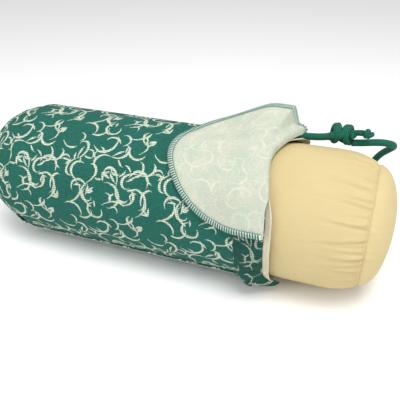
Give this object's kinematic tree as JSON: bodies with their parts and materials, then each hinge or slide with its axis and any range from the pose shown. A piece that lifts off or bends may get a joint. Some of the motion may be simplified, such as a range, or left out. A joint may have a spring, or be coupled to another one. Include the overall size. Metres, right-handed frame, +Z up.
{
  "type": "bolster pillow",
  "caption": "Round neck and knee bolster: a stuffed cotton inner pillow in a printed drawstring cover whose rounded flap is folded back.",
  "frame": {"origin": "on the floor, under the middle of the roll", "axes": "+X along the roll, out of the cover's mouth; +Z up; -Y is the front, where the folded-back flap shows"},
  "size_m": [0.4576, 0.1868, 0.1724],
  "materials": {
    "print": "ribbed cotton, teal green with a cream scroll print",
    "reverse": "the same cloth's reverse, pale cream with the print showing through",
    "overlock": "overlock thread, green and pale",
    "cord": "soft braided cord, dark green",
    "calico": "plain cotton, warm cream",
    "thread": "cream sewing thread",
    "filling": "loose cotton fibre"
  },
  "bodies": {
    "cover": {"cover_side_panel": "print", "cover_end_panel": "print", "cover_end_seam_thread": "overlock", "cover_side_seam": "print", "drawstring_casing": "print", "mouth_facing": "reverse", "flap_base": "reverse", "outlet_bar_stitch": "overlock", "drawstring_loop": "cord", "drawstring_knot": "cord", "drawstring_short_tail": "cord", "short_tail_knot": "cord", "drawstring_long_tail": "cord", "long_tail_knot": "cord"},
    "flap": {"flap_panel": "reverse", "flap_overlock": "overlock"},
    "inner_pillow": {"pillow_side_panel": "calico", "pillow_near_end_panel": "calico", "pillow_far_end_panel": "calico", "pillow_near_seam_thread": "thread", "pillow_far_seam_thread": "thread", "pillow_filling": "filling"}
  },
  "joints": [
    {"name": "pillow_slide", "type": "slide", "parent": "cover", "child": "inner_pillow", "axis": [1, 0, 0], "range_m": [0, 0.33]},
    {"name": "flap_fold", "type": "hinge", "parent": "cover", "child": "flap", "pos_m": [0.0983, -0.03897, 0.14329], "axis": [0, 0.8829, 0.4695], "range_deg": [0, 75]}
  ]
}
